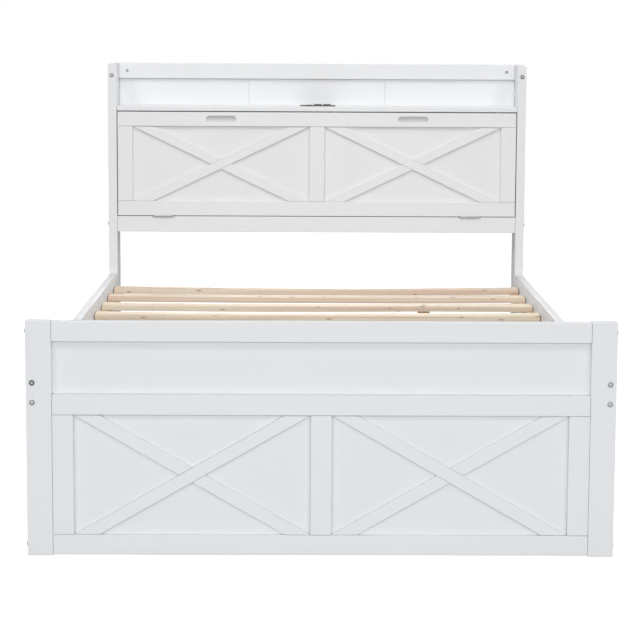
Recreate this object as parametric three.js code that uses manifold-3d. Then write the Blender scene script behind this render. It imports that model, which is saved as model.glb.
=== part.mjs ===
// Full-size bed with a storage headboard: a framed footboard, two side rails with slat cleats,
// ten pine slats with four support legs, and a shallow headboard cabinet with an open shelf,
// a power socket and one long flap door on two butt hinges.
// Millimetres, +Z up, +Y from the footboard to the headboard, origin on the floor under the middle.
import * as THREE from 'three';
import { mergeVertices } from 'three/addons/utils/BufferGeometryUtils.js';
import Module from 'manifold-3d';

const wasm = await Module();
wasm.setup();

// Overall sizes
const bedWidth = 1450;
const bedLength = 2088;
const headboardHeight = 1181;
const footboardHeight = 588;

// Fits shared by every joint
const jointGap = 0.3;
const boardEase = 1.2;
const panelEase = 0.8;
const cutOverrun = 5;
const weldTolerance = 0.001;
const easeLimitShare = 0.25;

// Footboard frame and panels
const footThickness = 28;
const footPostWidth = 63;
const footTopRailHeight = 50;
const footTopRailDrop = 2;
const footMiddleRailHeight = 51;
const footBottomRailHeight = 50;
const footGroundGap = 3;
const upperOpeningHeight = 131;
const upperPanelRecess = 17;
const upperPanelThickness = 9;
const lowerPanelRecess = 10;
const lowerPanelThickness = 9;
const footStileWidth = 52;
const footBraceSetback = 3;
const footBraceEndCut = 64;

// Side rails, cleats, slats and support legs
const sideRailTop = 448;
const sideRailHeight = 80;
const sideRailThickness = 25;
const cleatWidth = 24;
const cleatHeight = 26;
const slatDrop = 36;
const slatThickness = 18;
const slatWidth = 62;
const slatEase = 2;
const slatEndGap = 2;
const slatHeadGap = 53;
const slatFootGap = 37;
const slatCount = 10;
const legWidth = 38;
const legInset = 379;
const legSides = { 3: 1, 5: -1, 6: 1, 8: -1 };

// Headboard cabinet
const headPostThickness = 29.5;
const headPostDepth = 108;
const headPostCornerRadius = 11;
const topRailHeight = 54;
const topRailThickness = 18;
const cubbyHeight = 93;
const shelfThickness = 17.2;
const headBottomRailHeight = 54.8;
const headBottomRailThickness = 20;
const floorThickness = 15;
const backBoardThickness = 8;
const backCentreWidth = 478;

// Flap door
const doorHeadGap = 3.2;
const doorHeight = 361.3;
const doorFootGap = 2;
const doorSideGap = 2.5;
const doorFrameThickness = 9;
const doorPanelThickness = 9;
const doorTopRailHeight = 49.5;
const doorBottomRailHeight = 50.8;
const doorStileWidth = 52;
const doorBraceSetback = 2.5;
const doorBraceEndCut = 72;
const pullLength = 103;
const pullHeight = 19.5;
const pullDrop = 23.5;

// Butt hinges
const hingeInset = 158.5;
const hingeLength = 70;
const knuckleRadius = 3.2;
const knuckleCount = 5;
const knuckleGap = 0.3;
const pinRadius = 1.5;
const pinClearance = 0.1;
const leafThickness = 1.5;
const leafDepth = 15;
const leafGap = 0.8;
const leafScrewRadius = 2;
const leafScrewSpacing = 24;
const hingeClearance = 0.35;
const mortiseEase = 4;

// Magnetic catches
const catchWidth = 44;
const catchDepth = 24;
const catchHeight = 14;
const catchInset = 90;
const strikeAllowance = 1.5;

// Power socket: a flanged housing let into the shelf, with one USB and two mains modules
const socketOffset = 3;
const socketPlateWidth = 123;
const socketPlateDepth = 60;
const socketPlateThickness = 3;
const socketBodyWidth = 105;
const socketBodyDepth = 46;
const socketBodyDrop = 24;
const moduleSpacing = 31.5;
const mainsModuleWidth = 26;
const moduleDepth = 36;
const mainsModuleRise = 3.5;
const usbModuleWidth = 21;
const usbModuleRise = 1;
const usbPortWidth = 12.5;
const usbPortHeight = 5.2;
const usbPortDepth = 9;
const usbPortSpacing = 13;
const pinSlotLength = 7.5;
const pinSlotWidth = 2;
const pinSlotSpacing = 12.7;
const pinSlotDepth = 12;
const earthHoleRadius = 2.6;
const earthHoleOffset = 11.5;

// Counts of straight facets in round work
const roundFacets = 20;
const smallFacets = 8;
const cornerFacets = 5;

// Levels and planes that several pieces share
const halfWidth = bedWidth / 2;
const footFront = -bedLength / 2;
const footBack = footFront + footThickness;
const headBack = bedLength / 2;
const headFront = headBack - headPostDepth;
const footPostInner = halfWidth - footPostWidth;
const headPostInner = halfWidth - headPostThickness;
const railInner = halfWidth - sideRailThickness;

const footBottomRailTop = footGroundGap + footBottomRailHeight;
const footTopRailTop = footboardHeight - footTopRailDrop;
const footTopRailBottom = footTopRailTop - footTopRailHeight;
const footMiddleRailTop = footTopRailBottom - upperOpeningHeight;
const footMiddleRailBottom = footMiddleRailTop - footMiddleRailHeight;

const slatTop = sideRailTop - slatDrop;
const slatBottom = slatTop - slatThickness;

const topRailBottom = headboardHeight - topRailHeight;
const shelfTop = topRailBottom - cubbyHeight;
const shelfBottom = shelfTop - shelfThickness;
const doorTop = shelfBottom - doorHeadGap;
const doorBottom = doorTop - doorHeight;
const cabinetFloor = doorBottom - doorFootGap;
const doorHalfWidth = headPostInner - doorSideGap;
const doorBack = headFront + doorFrameThickness + jointGap + doorPanelThickness;
const backBoardFront = headBack - backBoardThickness;

const hingeAxisZ = cabinetFloor + doorFootGap / 2;
const knuckleReach = knuckleRadius + hingeClearance;
const hingeStandoff = Math.sqrt(Math.max(0, knuckleReach ** 2 - (doorFootGap / 2) ** 2));
const hingeAxisY = headFront - hingeStandoff;
const leafSink = Math.max(0, leafThickness + jointGap - (doorFootGap - leafGap) / 2);

const paint = { color: '#e9ebec', roughness: 0.42, metalness: 0 };
const pine = { color: '#e2cba9', roughness: 0.62, metalness: 0 };
const darkPine = { color: '#b38e62', roughness: 0.65, metalness: 0 };
const steel = { color: '#a9acae', roughness: 0.35, metalness: 1 };
const blackPlastic = { color: '#1b1c1e', roughness: 0.38, metalness: 0 };
const greyPlastic = { color: '#8d9093', roughness: 0.5, metalness: 0 };

const bed = new THREE.Group();

function addMesh(name, look, geometry) {
  const mesh = new THREE.Mesh(geometry, new THREE.MeshStandardMaterial(look));
  mesh.name = name;
  bed.add(mesh);
  return mesh;
}

// Turns a closed mesh into a solid that can be joined and cut
function toSolid(geometry) {
  const bare = geometry.clone();
  bare.deleteAttribute('normal');
  bare.deleteAttribute('uv');
  const merged = mergeVertices(bare, weldTolerance);
  return new wasm.Manifold(new wasm.Mesh({
    numProp: 3,
    vertProperties: new Float32Array(merged.attributes.position.array),
    triVerts: new Uint32Array(merged.index.array),
  }));
}

function toGeometry(solid) {
  const mesh = solid.getMesh();
  const geometry = new THREE.BufferGeometry();
  geometry.setAttribute('position', new THREE.BufferAttribute(mesh.vertProperties, 3));
  geometry.setIndex(new THREE.BufferAttribute(mesh.triVerts, 1));
  geometry.computeVertexNormals();
  return geometry;
}

function join(solids) {
  return solids.reduce((whole, next) => whole.add(next));
}

function cut(solid, tools) {
  return tools.reduce((left, tool) => left.subtract(tool), solid);
}

// A sheet of the given outline, with eased edges, centred on its thickness along Z
function easedSheet(outline, thickness, ease) {
  const easing = Math.min(ease, thickness * easeLimitShare);
  const geometry = new THREE.ExtrudeGeometry(outline, {
    depth: thickness - 2 * easing,
    steps: 1,
    curveSegments: cornerFacets,
    bevelEnabled: true,
    bevelThickness: easing,
    bevelSize: easing,
    bevelOffset: -easing,
    bevelSegments: 1,
  });
  geometry.translate(0, 0, easing - thickness / 2);
  return geometry;
}

// The same sheet stood upright: the outline lies in XZ and the thickness runs along Y
function uprightSheet(outline, thickness, ease) {
  return easedSheet(outline, thickness, ease).rotateX(Math.PI / 2);
}

function rectangle(width, height, ease) {
  const w = width / 2;
  const h = height / 2;
  const c = Math.min(ease, width * easeLimitShare, height * easeLimitShare);
  return new THREE.Shape([
    new THREE.Vector2(-w + c, -h),
    new THREE.Vector2(w - c, -h),
    new THREE.Vector2(w, -h + c),
    new THREE.Vector2(w, h - c),
    new THREE.Vector2(w - c, h),
    new THREE.Vector2(-w + c, h),
    new THREE.Vector2(-w, h - c),
    new THREE.Vector2(-w, -h + c),
  ]);
}

// A straight board given by its two opposite corners, with every edge eased
function board(name, look, low, high, ease = boardEase) {
  const size = high.map((top, i) => top - low[i]);
  const mesh = addMesh(name, look, easedSheet(rectangle(size[0], size[1], ease), size[2], ease));
  mesh.position.set(...high.map((top, i) => (top + low[i]) / 2));
  return mesh;
}

function block(low, high) {
  const size = high.map((top, i) => top - low[i]);
  const geometry = new THREE.BoxGeometry(...size);
  geometry.translate(...high.map((top, i) => (top + low[i]) / 2));
  return toSolid(geometry);
}

// Cuts solids given in the bed's frame out of a board that is already placed
function trim(mesh, tools) {
  const { x, y, z } = mesh.position;
  const placed = tools.map((tool) => tool.translate([-x, -y, -z]));
  mesh.geometry = toGeometry(cut(toSolid(mesh.geometry), placed));
}

function rodAlongX(radius, from, to, y, z, facets = roundFacets) {
  const geometry = new THREE.CylinderGeometry(radius, radius, to - from, facets);
  geometry.rotateZ(Math.PI / 2);
  geometry.translate((from + to) / 2, y, z);
  return geometry;
}

function rodAlongZ(radius, from, to, x, y, facets = smallFacets) {
  const geometry = new THREE.CylinderGeometry(radius, radius, to - from, facets);
  geometry.rotateX(Math.PI / 2);
  geometry.translate(x, y, (from + to) / 2);
  return geometry;
}

// One diagonal brace of an X: a strip whose level ends meet the corners of its opening.
// It rises from left to right when slope is 1 and falls when slope is -1.
function braceOutline(width, height, endCut, slope) {
  const w = width / 2;
  const h = height / 2;
  return new THREE.Shape([
    new THREE.Vector2(-w, -h * slope),
    new THREE.Vector2(-w + endCut, -h * slope),
    new THREE.Vector2(w, h * slope),
    new THREE.Vector2(w - endCut, h * slope),
  ]);
}

// An X of two braces, halved into each other. The through brace keeps its face unbroken.
function crossBraces(names, opening, endCut, thickness, backPlane, throughSlope) {
  const width = opening.right - opening.left - 2 * jointGap;
  const height = opening.top - opening.bottom - 2 * jointGap;
  const rise = Math.atan2(height, width - endCut);
  const spread = 2 * jointGap / Math.sin(rise);
  const halfLap = thickness / 2 + jointGap / 2;
  const slopes = [throughSlope, -throughSlope];
  names.forEach((name, i) => {
    const strip = toSolid(uprightSheet(braceOutline(width, height, endCut, slopes[i]), thickness, panelEase));
    const toolOutline = braceOutline(width + spread, height, endCut + spread, slopes[1 - i]);
    const tool = new THREE.ExtrudeGeometry(toolOutline, { depth: halfLap + cutOverrun, bevelEnabled: false });
    tool.rotateX(Math.PI / 2);
    const back = i === 0;
    tool.translate(0, back ? thickness / 2 + cutOverrun : halfLap - thickness / 2, 0);
    const mesh = addMesh(name, paint, toGeometry(strip.subtract(toSolid(tool))));
    mesh.position.set(
      (opening.left + opening.right) / 2,
      backPlane - jointGap - thickness / 2,
      (opening.top + opening.bottom) / 2,
    );
  });
}

// Footboard: two posts, three rails, an upper panel and a lower panel faced with three stiles
function footboard() {
  [['left', -1], ['right', 1]].forEach(([side, sign]) => {
    const outer = sign * halfWidth;
    const inner = sign * footPostInner;
    board(`footboard_post_${side}`, paint,
      [Math.min(outer, inner), footFront, 0],
      [Math.max(outer, inner), footBack, footboardHeight]);
  });
  const railEnd = footPostInner - jointGap;
  const rails = {
    top: [footTopRailBottom, footTopRailTop],
    middle: [footMiddleRailBottom, footMiddleRailTop],
    bottom: [footGroundGap, footBottomRailTop],
  };
  Object.entries(rails).forEach(([level, [bottom, top]]) => {
    board(`footboard_${level}_rail`, paint, [-railEnd, footFront, bottom], [railEnd, footBack, top]);
  });
  const upperFront = footFront + upperPanelRecess;
  board('footboard_upper_panel', paint,
    [-railEnd, upperFront, footMiddleRailTop + jointGap],
    [railEnd, upperFront + upperPanelThickness, footTopRailBottom - jointGap], panelEase);

  const panelFront = footFront + lowerPanelRecess;
  const low = footBottomRailTop + jointGap;
  const high = footMiddleRailBottom - jointGap;
  board('footboard_lower_panel', paint,
    [-railEnd, panelFront, low], [railEnd, panelFront + lowerPanelThickness, high], panelEase);
  const stileBack = panelFront - jointGap;
  const stiles = {
    left: -railEnd,
    centre: -footStileWidth / 2,
    right: railEnd - footStileWidth,
  };
  Object.entries(stiles).forEach(([place, left]) => {
    board(`footboard_stile_${place}`, paint,
      [left, footFront, low], [left + footStileWidth, stileBack, high]);
  });

  const openingEdge = railEnd - footStileWidth;
  const openingSize = { bottom: footBottomRailTop, top: footMiddleRailBottom };
  const braceThickness = lowerPanelRecess - footBraceSetback - jointGap;
  const openings = [
    ['left', { left: -openingEdge, right: -footStileWidth / 2, ...openingSize }, 1],
    ['right', { left: footStileWidth / 2, right: openingEdge, ...openingSize }, -1],
  ];
  openings.forEach(([side, opening, slope]) => {
    crossBraces([`footboard_through_brace_${side}`, `footboard_halved_brace_${side}`],
      opening, footBraceEndCut, braceThickness, panelFront, slope);
  });
}

// Side rails with a cleat along the inside of each, to carry the slats
function sideRails() {
  const from = footBack + jointGap;
  const to = headFront - jointGap;
  [['left', -1], ['right', 1]].forEach(([side, sign]) => {
    const outer = sign * halfWidth;
    const inner = sign * railInner;
    board(`side_rail_${side}`, paint,
      [Math.min(outer, inner), from, sideRailTop - sideRailHeight],
      [Math.max(outer, inner), to, sideRailTop]);
    const cleatOuter = sign * (railInner - jointGap);
    const cleatInner = sign * (railInner - jointGap - cleatWidth);
    const cleatTop = slatBottom - jointGap;
    board(`slat_cleat_${side}`, pine,
      [Math.min(cleatOuter, cleatInner), from, cleatTop - cleatHeight],
      [Math.max(cleatOuter, cleatInner), to, cleatTop]);
  });
}

// Ten slats, counted from the headboard, and four legs staggered under the middle ones
function slatsAndLegs() {
  const clearLength = headFront - footBack - slatHeadGap - slatFootGap - slatWidth;
  const pitch = clearLength / (slatCount - 1);
  const slatEnd = railInner - slatEndGap;
  const slatFront = (number) => headFront - slatHeadGap - slatWidth - (number - 1) * pitch;
  for (let number = 1; number <= slatCount; number += 1) {
    const front = slatFront(number);
    board(`slat_${String(number).padStart(2, '0')}`, pine,
      [-slatEnd, front, slatBottom], [slatEnd, front + slatWidth, slatTop], slatEase);
  }
  Object.entries(legSides).forEach(([number, sign]) => {
    const x = sign * (halfWidth - legInset);
    const y = slatFront(Number(number)) + slatWidth / 2;
    board(`support_leg_slat_${number.padStart(2, '0')}`, darkPine,
      [x - legWidth / 2, y - legWidth / 2, 0],
      [x + legWidth / 2, y + legWidth / 2, slatBottom - jointGap]);
  });
}

// A headboard post is a deep board whose outer top corner is rounded
function headPosts() {
  const w = headPostThickness / 2;
  const h = headboardHeight / 2;
  const r = Math.min(headPostCornerRadius, headPostThickness - 2 * boardEase);
  const c = boardEase;
  [['left', -1], ['right', 1]].forEach(([side, sign]) => {
    const outline = new THREE.Shape();
    outline.moveTo(-w + c, -h);
    outline.lineTo(w - c, -h);
    outline.lineTo(w, -h + c);
    outline.lineTo(w, h - r);
    outline.absarc(w - r, h - r, r, 0, Math.PI / 2);
    outline.lineTo(-w + c, h);
    outline.lineTo(-w, h - c);
    outline.lineTo(-w, -h + c);
    const geometry = uprightSheet(outline, headPostDepth, boardEase);
    if (sign < 0) {
      geometry.rotateZ(Math.PI);
    }
    const mesh = addMesh(`headboard_post_${side}`, paint, geometry);
    mesh.position.set(sign * (halfWidth - w), headFront + headPostDepth / 2, h);
  });
}

// Headboard cabinet: top rail, three back boards, shelf, floor and bottom rail
function headCabinet() {
  const end = headPostInner - jointGap;
  board('headboard_top_rail', paint,
    [-end, headBack - topRailThickness, topRailBottom], [end, headBack, headboardHeight]);
  const bottomRail = board('headboard_bottom_rail', paint,
    [-end, headFront, cabinetFloor - headBottomRailHeight],
    [end, headFront + headBottomRailThickness, cabinetFloor]);
  trim(bottomRail, hingeMortises(cabinetFloor, -1));
  board('compartment_floor', paint,
    [-end, headFront + headBottomRailThickness + jointGap, cabinetFloor - floorThickness],
    [end, backBoardFront - jointGap, cabinetFloor]);
  const seam = backCentreWidth / 2;
  const boards = {
    left: [-end, -seam - jointGap],
    centre: [-seam, seam],
    right: [seam + jointGap, end],
  };
  Object.entries(boards).forEach(([place, [left, right]]) => {
    board(`back_board_${place}`, paint,
      [left, backBoardFront, cabinetFloor - floorThickness],
      [right, headBack, topRailBottom - jointGap], panelEase);
  });
}

// The shelf over the compartment, with a cut-out for the socket housing
function shelf() {
  const end = headPostInner - jointGap;
  const depth = backBoardFront - jointGap - headFront;
  const plain = easedSheet(rectangle(2 * end, depth, boardEase), shelfThickness, boardEase);
  plain.translate(0, headFront + depth / 2, shelfTop - shelfThickness / 2);
  const place = socketPlace();
  const halfBody = [socketBodyWidth / 2 + jointGap, socketBodyDepth / 2 + jointGap];
  const cutOut = block(
    [place.x - halfBody[0], place.y - halfBody[1], shelfBottom - cutOverrun],
    [place.x + halfBody[0], place.y + halfBody[1], shelfTop + cutOverrun]);
  addMesh('shelf_board', paint, toGeometry(toSolid(plain).subtract(cutOut)));
}

function socketPlace() {
  return { x: socketOffset, y: (headFront + backBoardFront) / 2 };
}

// Power socket: plate on the shelf, housing through the shelf, USB ports left and two outlets
function powerSocket() {
  const { x, y } = socketPlace();
  const plateBottom = shelfTop + jointGap;
  const plateTop = plateBottom + socketPlateThickness;
  const plate = easedSheet(rectangle(socketPlateWidth, socketPlateDepth, panelEase),
    socketPlateThickness, panelEase);
  plate.translate(x, y, plateTop - socketPlateThickness / 2);
  const solids = [
    toSolid(plate),
    block([x - socketBodyWidth / 2, y - socketBodyDepth / 2, shelfBottom - socketBodyDrop],
      [x + socketBodyWidth / 2, y + socketBodyDepth / 2, plateTop - socketPlateThickness / 2]),
  ];
  const modules = [[-1, usbModuleWidth, usbModuleRise], [0, mainsModuleWidth, mainsModuleRise],
    [1, mainsModuleWidth, mainsModuleRise]];
  modules.forEach(([place, width, rise]) => {
    const centre = x + place * moduleSpacing;
    solids.push(block([centre - width / 2, y - moduleDepth / 2, plateTop - socketPlateThickness / 2],
      [centre + width / 2, y + moduleDepth / 2, plateTop + rise]));
  });

  const cutters = [];
  const usbX = x - moduleSpacing;
  [-1, 1].forEach((row) => {
    const portY = y + row * usbPortSpacing / 2;
    const top = plateTop + usbModuleRise;
    cutters.push(block([usbX - usbPortWidth / 2, portY - usbPortHeight / 2, top - usbPortDepth],
      [usbX + usbPortWidth / 2, portY + usbPortHeight / 2, top + cutOverrun]));
  });
  [0, 1].forEach((place) => {
    const centre = x + place * moduleSpacing;
    const top = plateTop + mainsModuleRise;
    const slotY = y + pinSlotLength / 2;
    [-1, 1].forEach((hand) => {
      const slotX = centre + hand * pinSlotSpacing / 2;
      cutters.push(block([slotX - pinSlotWidth / 2, slotY - pinSlotLength / 2, top - pinSlotDepth],
        [slotX + pinSlotWidth / 2, slotY + pinSlotLength / 2, top + cutOverrun]));
    });
    cutters.push(toSolid(rodAlongZ(earthHoleRadius, top - pinSlotDepth, top + cutOverrun,
      centre, slotY - earthHoleOffset)));
  });
  addMesh('power_socket', blackPlastic, toGeometry(cut(join(solids), cutters)));
}

// A pull slot is a rectangle with round ends, cut through the door's top rail
function pullPath(centreX, centreZ) {
  const r = pullHeight / 2;
  const reach = pullLength / 2 - r;
  const path = new THREE.Path();
  path.moveTo(centreX - reach, centreZ - r);
  path.lineTo(centreX + reach, centreZ - r);
  path.absarc(centreX + reach, centreZ, r, -Math.PI / 2, Math.PI / 2);
  path.lineTo(centreX - reach, centreZ + r);
  path.absarc(centreX - reach, centreZ, r, Math.PI / 2, Math.PI * 3 / 2);
  return path;
}

// Flap door: a backing panel faced with rails, stiles and two X braces
function door() {
  const frameBack = headFront + doorFrameThickness;
  const panel = board('door_panel', paint,
    [-doorHalfWidth, frameBack + jointGap, doorBottom], [doorHalfWidth, doorBack, doorTop], panelEase);
  const topRailLow = doorTop - doorTopRailHeight;
  const bottomRailHigh = doorBottom + doorBottomRailHeight;
  const bottomRail = board('door_bottom_rail', paint,
    [-doorHalfWidth, headFront, doorBottom], [doorHalfWidth, frameBack, bottomRailHigh]);
  [panel, bottomRail].forEach((mesh) => trim(mesh, hingeMortises(doorBottom, 1)));

  const panelCentre = (doorStileWidth / 2 + doorHalfWidth - doorStileWidth) / 2;
  const outline = rectangle(2 * doorHalfWidth, doorTopRailHeight, boardEase);
  const pullZ = doorTopRailHeight / 2 - pullDrop;
  outline.holes.push(pullPath(-panelCentre, pullZ), pullPath(panelCentre, pullZ));
  const topRail = addMesh('door_top_rail', paint, uprightSheet(outline, doorFrameThickness, boardEase));
  topRail.position.set(0, headFront + doorFrameThickness / 2, doorTop - doorTopRailHeight / 2);

  const stiles = {
    left: -doorHalfWidth,
    centre: -doorStileWidth / 2,
    right: doorHalfWidth - doorStileWidth,
  };
  Object.entries(stiles).forEach(([place, left]) => {
    board(`door_stile_${place}`, paint,
      [left, headFront, bottomRailHigh + jointGap],
      [left + doorStileWidth, frameBack, topRailLow - jointGap]);
  });

  const openingEdge = doorHalfWidth - doorStileWidth;
  const openingSize = { bottom: bottomRailHigh, top: topRailLow };
  const openings = [
    ['left', { left: -openingEdge, right: -doorStileWidth / 2, ...openingSize }, 1],
    ['right', { left: doorStileWidth / 2, right: openingEdge, ...openingSize }, -1],
  ];
  openings.forEach(([side, opening, slope]) => {
    crossBraces([`door_through_brace_${side}`, `door_halved_brace_${side}`], opening,
      doorBraceEndCut, doorFrameThickness - doorBraceSetback, frameBack + jointGap, slope);
  });
}

// Recesses for the hinge leaves, cut from the level of a board's edge: up for 1, down for -1
function hingeMortises(level, into) {
  const levels = [level - into * cutOverrun, level + into * leafSink];
  const half = hingeLength / 2 + mortiseEase;
  const back = hingeAxisY + knuckleReach + leafDepth + jointGap;
  return [-1, 1].map((sign) => {
    const centreX = sign * (doorHalfWidth - hingeInset);
    return block([centreX - half, headFront - cutOverrun, Math.min(...levels)],
      [centreX + half, back, Math.max(...levels)]);
  });
}

// Butt hinge: leaf plates let into the door and the rail, knuckles and pin just proud of their front
function hingeLeaf(name, centreX, plateLow, ownKnuckles) {
  const knuckleLength = hingeLength / knuckleCount;
  const start = centreX - hingeLength / 2;
  const plateFront = hingeAxisY + knuckleReach;
  const plateHigh = plateLow + leafThickness;
  const solids = [
    block([start, plateFront, plateLow], [start + hingeLength, plateFront + leafDepth, plateHigh]),
  ];
  ownKnuckles.forEach((index) => {
    const from = start + index * knuckleLength + knuckleGap / 2;
    const to = from + knuckleLength - knuckleGap;
    solids.push(block([from, hingeAxisY, plateLow], [to, plateFront + leafThickness, plateHigh]));
    solids.push(toSolid(rodAlongX(knuckleRadius, from, to, hingeAxisY, hingeAxisZ)));
  });
  const bore = toSolid(rodAlongX(pinRadius + pinClearance, start - cutOverrun,
    start + hingeLength + cutOverrun, hingeAxisY, hingeAxisZ));
  const screwY = plateFront + leafDepth / 2;
  const screws = [-1, 0, 1].map((step) => toSolid(rodAlongZ(leafScrewRadius, plateLow - cutOverrun,
    plateHigh + cutOverrun, centreX + step * leafScrewSpacing, screwY)));
  addMesh(name, steel, toGeometry(cut(join(solids), [bore, ...screws])));
}

function hinges() {
  const fixedLow = cabinetFloor - leafSink + jointGap;
  const movingLow = doorBottom + leafSink - jointGap - leafThickness;
  const indexes = Array.from({ length: knuckleCount }, (_, index) => index);
  [['left', -1], ['right', 1]].forEach(([side, sign]) => {
    const centreX = sign * (doorHalfWidth - hingeInset);
    hingeLeaf(`hinge_fixed_leaf_${side}`, centreX, fixedLow, indexes.filter((index) => index % 2 === 0));
    hingeLeaf(`hinge_door_leaf_${side}`, centreX, movingLow, indexes.filter((index) => index % 2 === 1));
    addMesh(`hinge_pin_${side}`, steel, rodAlongX(pinRadius, centreX - hingeLength / 2,
      centreX + hingeLength / 2, hingeAxisY, hingeAxisZ));
  });
}

// Magnetic catches under the shelf, which also stop the closed door
function catches() {
  const front = doorBack + strikeAllowance;
  const top = shelfBottom - jointGap;
  [['left', -1], ['right', 1]].forEach(([side, sign]) => {
    const x = sign * (doorHalfWidth - catchInset);
    board(`door_catch_${side}`, greyPlastic,
      [x - catchWidth / 2, front, top - catchHeight],
      [x + catchWidth / 2, front + catchDepth, top]);
  });
}

footboard();
sideRails();
slatsAndLegs();
headPosts();
headCabinet();
shelf();
powerSocket();
door();
hinges();
catches();

export default bed;
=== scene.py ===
import math

import bmesh
import bpy
from mathutils import Matrix, Vector


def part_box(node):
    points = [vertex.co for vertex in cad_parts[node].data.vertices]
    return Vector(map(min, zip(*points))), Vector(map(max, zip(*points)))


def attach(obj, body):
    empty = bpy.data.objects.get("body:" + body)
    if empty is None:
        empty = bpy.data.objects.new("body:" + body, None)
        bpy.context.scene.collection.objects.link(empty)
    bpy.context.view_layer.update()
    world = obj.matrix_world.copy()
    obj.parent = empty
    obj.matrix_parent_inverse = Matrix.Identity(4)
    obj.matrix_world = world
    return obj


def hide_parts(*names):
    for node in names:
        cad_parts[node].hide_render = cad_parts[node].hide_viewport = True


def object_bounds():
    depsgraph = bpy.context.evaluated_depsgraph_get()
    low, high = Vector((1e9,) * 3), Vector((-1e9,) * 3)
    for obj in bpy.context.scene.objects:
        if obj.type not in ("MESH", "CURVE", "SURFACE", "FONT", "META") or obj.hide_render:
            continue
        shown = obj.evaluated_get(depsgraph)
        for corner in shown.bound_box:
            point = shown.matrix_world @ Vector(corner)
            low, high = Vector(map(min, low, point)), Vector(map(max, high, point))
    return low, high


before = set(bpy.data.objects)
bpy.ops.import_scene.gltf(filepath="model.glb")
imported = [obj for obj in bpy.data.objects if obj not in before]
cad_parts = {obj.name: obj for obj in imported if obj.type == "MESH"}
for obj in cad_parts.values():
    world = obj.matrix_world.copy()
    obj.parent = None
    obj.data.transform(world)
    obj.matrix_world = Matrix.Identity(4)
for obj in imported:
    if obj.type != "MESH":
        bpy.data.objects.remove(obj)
cadLow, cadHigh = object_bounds()
print("frame loaded:", len(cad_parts), "nodes")

xAxis, yAxis, zAxis = 0, 1, 2
toRight, up, down = Vector((1, 0, 0)), Vector((0, 0, 1)), Vector((0, 0, -1))
toFront, toBack = Vector((0, -1, 0)), Vector((0, 1, 0))
sides = {"left": -1, "right": 1}
smoothAngle = math.radians(30)  # faces that meet at less than this stay smooth
mergeDistance = 0.000001
slatNames = sorted(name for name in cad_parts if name.startswith(("slat_0", "slat_1")))


def middle(name):
    low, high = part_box(name)
    return (low + high) / 2


# A node's output, so that sums and products of it can be written as Python
class Wire:
    def __init__(self, graph, socket):
        self.graph = graph
        self.socket = socket

    def other(self, name):
        return Wire(self.graph, self.socket.node.outputs[name])

    def __add__(self, value):
        return self.graph.math("ADD", self, value)

    def __radd__(self, value):
        return self.graph.math("ADD", value, self)

    def __sub__(self, value):
        return self.graph.math("SUBTRACT", self, value)

    def __rsub__(self, value):
        return self.graph.math("SUBTRACT", value, self)

    def __mul__(self, value):
        return self.graph.math("MULTIPLY", self, value)

    def __rmul__(self, value):
        return self.graph.math("MULTIPLY", value, self)

    def __truediv__(self, value):
        return self.graph.math("DIVIDE", self, value)

    def __pow__(self, value):
        return self.graph.math("POWER", self, value)


# Adds nodes to one node tree, for shaders and for geometry alike
class Graph:
    def __init__(self, tree):
        self.tree = tree
        self.tree.nodes.clear()

    def node(self, kind, settings=None, sockets=None, out=0):
        made = self.tree.nodes.new(kind)
        for name, value in (settings or {}).items():
            setattr(made, name, value)
        for key, value in (sockets or {}).items():
            if isinstance(value, Wire):
                self.tree.links.new(value.socket, made.inputs[key])
            else:
                made.inputs[key].default_value = value
        return Wire(self, made.outputs[out]) if len(made.outputs) else made

    def math(self, operation, *values):
        return self.node("ShaderNodeMath", {"operation": operation}, dict(enumerate(values)))

    def vector(self, operation, *values):
        return self.node("ShaderNodeVectorMath", {"operation": operation}, dict(enumerate(values)))

    def clamped(self, value):
        return self.node("ShaderNodeClamp", None, {0: value})

    # 0 below low, 1 above high and an even curve between them
    def rise(self, value, low, high):
        settings = {"interpolation_type": "SMOOTHSTEP"}
        return self.node("ShaderNodeMapRange", settings, {0: value, 1: low, 2: high})

    # A value of 0 to 1 made to swing about zero, by half the spread each way
    def swing(self, value, spread):
        return (value - 0.5) * spread

    def noise(self, place, scale, detail, roughness=0.5):
        sockets = {"Vector": place, "Scale": scale, "Detail": detail, "Roughness": roughness}
        return self.node("ShaderNodeTexNoise", None, sockets)

    # Noise drawn out along one axis, as the fibres of wood are
    def grain(self, place, axis, along, across, detail, roughness=0.5):
        factors = tuple(along if index == axis else across for index in range(3))
        return self.noise(self.vector("MULTIPLY", place, factors), 1.0, detail, roughness)

    def blend(self, factor, first, second):
        return self.node("ShaderNodeMix", {"data_type": "RGBA"}, {0: factor, 6: first, 7: second}, 2)

    def bump(self, height, depth=1.0):
        return self.node("ShaderNodeBump", None, {"Height": height, "Distance": depth, "Strength": 1.0})

    # A value kept on the piece, as a material reads it
    def attribute(self, name):
        return self.node("ShaderNodeAttribute", {"attribute_name": name}, out="Fac")

    # A value kept on the points, as a geometry tree reads it
    def stored(self, name, kind="FLOAT"):
        return self.node("GeometryNodeInputNamedAttribute", {"data_type": kind}, {"Name": name})


# Materials

def startMaterial(name):
    material = bpy.data.materials.new(name)
    material.use_nodes = True
    graph = Graph(material.node_tree)
    return material, graph, graph.node("ShaderNodeTexCoord", out="Object")


def closeMaterial(graph, sockets):
    shader = graph.node("ShaderNodeBsdfPrincipled", None, sockets)
    graph.node("ShaderNodeOutputMaterial", None, {"Surface": shader})


def toned(colour, share, lift=0.0):
    return tuple(min(1, value * share + lift) for value in colour[:3]) + (1,)


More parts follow.
